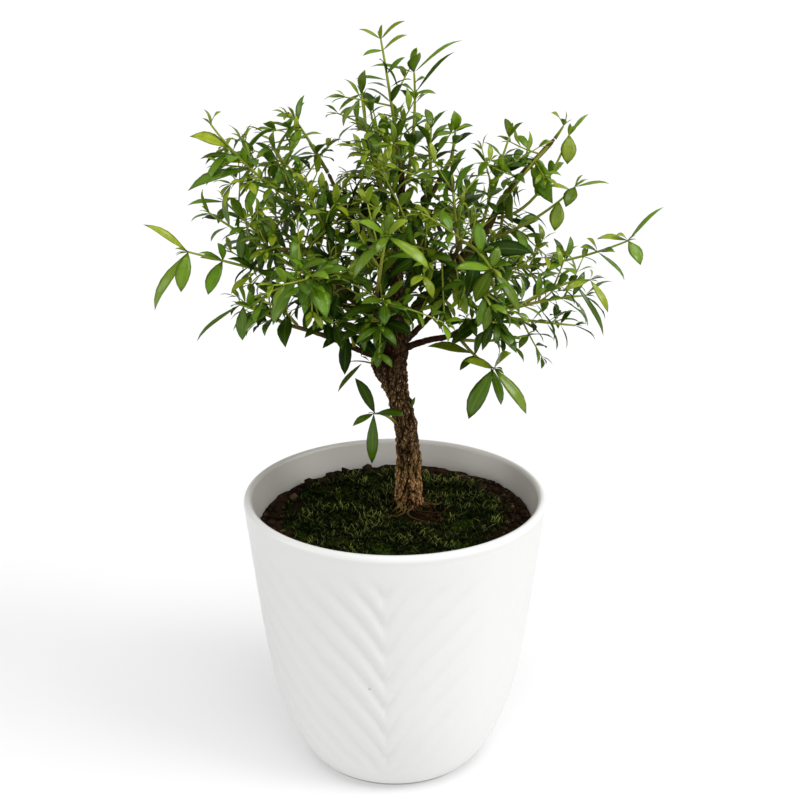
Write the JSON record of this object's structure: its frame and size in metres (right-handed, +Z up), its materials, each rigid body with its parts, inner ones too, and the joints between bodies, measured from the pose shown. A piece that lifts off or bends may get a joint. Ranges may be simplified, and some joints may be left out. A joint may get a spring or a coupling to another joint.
{
  "type": "bonsai tree in pot",
  "caption": "Small bonsai with a crooked trunk and a wide crown of opposite pointed leaves, in a deep round white pot with a rolled lip and feather ribs.",
  "frame": {"origin": "centre of the pot's flat base", "axes": "+Z up along the pot's axis, -Y towards the front of the plant, +X to its right as seen from the front"},
  "size_m": [0.2337, 0.1675, 0.3678],
  "materials": {
    "ceramic": "satin white glaze on earthenware",
    "earth": "dark moist crumbly potting soil",
    "moss": "dense dark green moss with paler tips",
    "bark": "rough fissured brown bark",
    "leaf": "satin green leaves on yellow-green stems"
  },
  "bodies": {
    "root": {"pot": "ceramic", "soil": "earth", "moss": "moss", "trunk": "bark", "crown_inner": "leaf", "crown_left": "leaf", "crown_second": "leaf", "crown_tip": "leaf", "front_low_star": "leaf", "front_right_star": "leaf", "front_star": "leaf", "high_left": "leaf", "left_droop": "leaf", "left_front": "leaf", "left_high": "leaf", "left_long": "leaf", "left_low": "leaf", "left_mid": "leaf", "left_upper": "leaf", "right_hang": "leaf", "right_high": "leaf", "right_inner": "leaf", "right_long": "leaf", "right_mid": "leaf", "right_reach": "leaf", "right_round": "leaf", "right_under": "leaf", "right_wisp": "leaf", "shoot_1": "leaf", "shoot_10": "leaf", "shoot_11": "leaf", "shoot_12": "leaf", "shoot_13": "leaf", "shoot_14": "leaf", "shoot_15": "leaf", "shoot_16": "leaf", "shoot_17": "leaf", "shoot_18": "leaf", "shoot_19": "leaf", "shoot_2": "leaf", "shoot_20": "leaf", "shoot_21": "leaf", "shoot_22": "leaf", "shoot_23": "leaf", "shoot_24": "leaf", "shoot_25": "leaf", "shoot_26": "leaf", "shoot_3": "leaf", "shoot_4": "leaf", "shoot_5": "leaf", "shoot_6": "leaf", "shoot_7": "leaf", "shoot_8": "leaf", "shoot_9": "leaf", "stub_buds": "leaf", "trunk_sprig": "leaf"}
  },
  "joints": []
}
